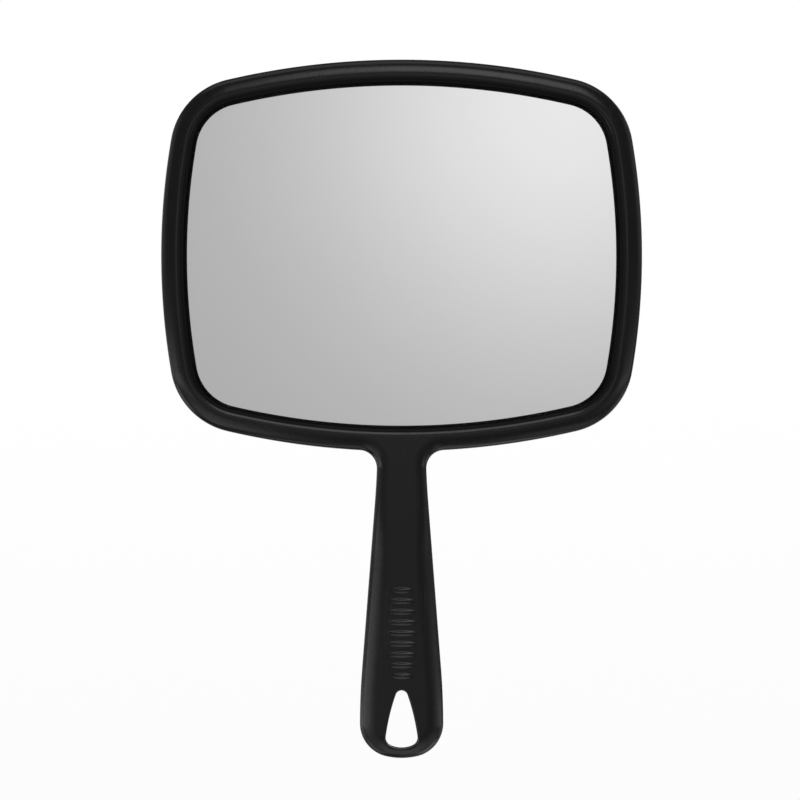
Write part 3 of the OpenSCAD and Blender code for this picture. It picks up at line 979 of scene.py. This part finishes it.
def cove():
    """Pale floor that turns up into a pale backdrop all round, seen by the camera only."""
    n = Nodes("pale_cove")
    height = n.new("ShaderNodeSeparateXYZ", {0: n.place}).outputs["Z"]
    tone = n.mix(n.ramp(height, COVE_FLOOR, COVE_FLOOR + COVE_BLEND), FLOOR_TONE, WHITE)
    glow = n.new("ShaderNodeEmission", {"Color": tone, "Strength": 1.0}).outputs[0]
    clear = n.new("ShaderNodeBsdfTransparent").outputs[0]
    outside = n.new("ShaderNodeNewGeometry").outputs["Backfacing"]
    shader = n.new("ShaderNodeMixShader", {0: outside, 1: glow, 2: clear})
    n.new("ShaderNodeOutputMaterial", {"Surface": shader.outputs[0]})

    profile = [(0, COVE_FLOOR)]
    profile += [
        (COVE_R - COVE_TURN_R * (1 - math.sin(a)), COVE_FLOOR + COVE_TURN_R * (1 - math.cos(a)))
        for a in np.linspace(0, math.pi / 2, TURN_POINTS)
    ]
    profile += [(COVE_R, COVE_TOP), (0, COVE_PEAK)]
    bm = bmesh.new()
    line = [bm.verts.new((r, 0, z)) for r, z in profile]
    edges = [bm.edges.new(pair) for pair in zip(line, line[1:])]
    bmesh.ops.spin(
        bm, geom=line + edges, cent=(0, 0, 0), axis=(0, 0, 1), angle=math.tau, steps=COVE_SIDES,
    )
    bmesh.ops.remove_doubles(bm, verts=bm.verts, dist=COVE_WELD)
    bmesh.ops.recalc_face_normals(bm, faces=bm.faces)
    bmesh.ops.reverse_faces(bm, faces=bm.faces)
    mesh = bpy.data.meshes.new("cove")
    bm.to_mesh(mesh)
    bm.free()
    obj = studio_object("pale_cove", mesh, n.material)
    obj.visible_diffuse = obj.visible_glossy = False
    obj.visible_transmission = obj.visible_shadow = False
    shade_smooth(obj, sharp=60)


def panel(name, centre, width, height, level, aim):
    """Glowing rectangle that faces a point. Its light is added to what is behind it, and the
    camera doesn't see it. level(nodes, place) gives its strength at a place on it."""
    n = Nodes(name)
    place = n.new("ShaderNodeSeparateXYZ", {0: n.place}).outputs
    strength = level(n, place)
    glow = n.new("ShaderNodeEmission", {"Color": (*WHITE, 1), "Strength": strength}).outputs[0]
    clear = n.new("ShaderNodeBsdfTransparent").outputs[0]
    shader = n.new("ShaderNodeAddShader", {0: glow, 1: clear})
    n.new("ShaderNodeOutputMaterial", {"Surface": shader.outputs[0]})
    mesh = bpy.data.meshes.new(name)
    w, h = width / 2, height / 2
    mesh.from_pydata([(-w, -h, 0), (w, -h, 0), (w, h, 0), (-w, h, 0)], [], [(0, 1, 2, 3)])
    obj = studio_object(name, mesh, n.material)
    obj.location = centre
    obj.rotation_euler = (Vector(aim) - Vector(centre)).to_track_quat("Z", "Y").to_euler()
    obj.visible_camera = False
    obj.visible_shadow = False


def faded(n, place, level, sizes, starts):
    """The level, brought down to nothing between each start and the panel's edge."""
    for axis, size, start in zip(("X", "Y"), sizes, starts):
        away = n.math("ABSOLUTE", place[axis], 0)
        level = n.math("MULTIPLY", level, n.ramp(away, start, size / 2, 1, 0))
    return level


def card(name, centre, width, height, radiance, soft=(0.35, 0.35), aim=(0, 0, 0.1)):
    """Softbox that fades out over those shares of its half width and half height."""
    starts = [size / 2 * (1 - fade) for size, fade in zip((width, height), soft)]

    def level(n, place):
        return faded(n, place, radiance, (width, height), starts)

    panel(name, centre, width, height, level, aim)


def mirror_level(n, place):
    """What the glass reflects: an even field, brighter towards the upper right."""
    right = n.math("SUBTRACT", n.math("MULTIPLY", place["X"], -1.0), SPOT_RIGHT * GROW)
    up = n.math("SUBTRACT", place["Y"], SPOT_UP * GROW)
    square = n.math("ADD", n.math("MULTIPLY", right, right), n.math("MULTIPLY", up, up))
    spread = SPOT_SPREAD * GROW
    spot = n.math("EXPONENT", n.math("DIVIDE", square, -spread ** 2), 0)
    field = GLASS_FIELD / GLASS_REFLECTANCE - ROOM_LIGHT
    level = n.math("ADD", n.math("MULTIPLY", spot, GLASS_SPOT / GLASS_REFLECTANCE), field)
    sizes = (MIRROR_W, MIRROR_H)
    return faded(n, place, level, sizes, [size / 2 - MIRROR_FADE for size in sizes])


cove()
panel(
    "mirror_card", (0, MIRROR_Y, MIRROR_Z), MIRROR_W, MIRROR_H, mirror_level, aim=(0, 0, MIRROR_Z),
)

# Upper rim, from the front and above
card("softbox_top", (0.10, -1.4, 0.86), 0.80, 0.66, 1.65, soft=(0.6, 0.14))
card("overhead", (0, -0.5, 1.7), 2.4, 1.4, 0.6, soft=(0.3, 0.3))

# Sides of the rim
card("side_left", (-1.2, -0.1, 0.42), 2.0, 0.76, 0.3, soft=(0.35, 0.15))
card("side_right", (1.2, -0.1, 0.42), 2.0, 0.76, 0.3, soft=(0.35, 0.15))

# Flanks of the handle, from low on either side
card("softbox_left", (-0.62, -0.86, -0.08), 1.0, 0.20, 0.8, soft=(0.85, 0.45), aim=(0, 0, -0.05))
card("near_left", (-0.125, -0.165, -0.035), 0.19, 0.15, 0.62, soft=(0.7, 0.45), aim=(0, 0, -0.035))
card("wing_left", (-1.0, -0.36, -0.10), 1.9, 0.20, 1.05, soft=(0.45, 0.4), aim=(0, 0, -0.06))
card("wing_right", (0.9, -0.56, -0.10), 1.7, 0.20, 0.8, soft=(0.5, 0.4), aim=(0, 0, -0.06))
card("near_right", (0.27, -0.36, -0.045), 0.36, 0.16, 0.14, soft=(0.5, 0.45), aim=(0, 0, -0.04))
card("edge_left", (-0.42, -0.02, -0.15), 0.5, 0.24, 0.9, soft=(0.4, 0.3), aim=(0, 0, -0.06))
card("edge_right", (0.42, -0.02, -0.15), 0.5, 0.24, 0.5, soft=(0.4, 0.3), aim=(0, 0, -0.06))

# Lower rim and the handle's tip, from below and from low in front
card("corner_left", (-0.15, -0.24, -0.165), 0.24, 0.16, 0.3, soft=(0.6, 0.6), aim=(0, 0, -0.05))
card("corner_right", (0.15, -0.24, -0.165), 0.24, 0.16, 0.42, soft=(0.6, 0.6), aim=(0, 0, -0.05))
card("floor_glow", (0.16, -0.02, -0.34), 0.8, 0.5, 0.25, soft=(0.5, 0.5), aim=(0, 0, 0))
card("tip_right", (0.06, -0.025, -0.12), 0.10, 0.09, 1.1, soft=(0.5, 0.5), aim=(0.01, 0, -0.045))
card("tip_left", (-0.06, -0.03, -0.12), 0.10, 0.09, 0.85, soft=(0.5, 0.5), aim=(-0.01, 0, -0.045))
card("front_low", (-0.20, -1.3, -0.13), 1.1, 0.26, 0.15, soft=(0.5, 0.4), aim=(-0.2, 0, -0.13))
card("softbox_low", (0, -0.125, -0.135), 0.11, 0.11, 0.75, soft=(0.6, 0.4), aim=(0, 0, -0.05))

# The back
card("back_key", (0.9, 1.8, 0.9), 1.3, 0.9, 2.0, soft=(0.25, 0.25))
card("back_fill", (-1.4, 1.3, 0.2), 1.0, 1.4, 0.5)
card("back_floor", (0.2, 1.9, -0.75), 3.4, 1.3, 1.1, soft=(0.5, 0.6))

world = bpy.data.worlds.new("studio")
bpy.context.scene.world = world
world.use_nodes = True
background = world.node_tree.nodes["Background"]
background.inputs["Color"].default_value = (*WHITE, 1)
background.inputs["Strength"].default_value = ROOM_LIGHT
bpy.context.scene.view_settings.view_transform = "Standard"
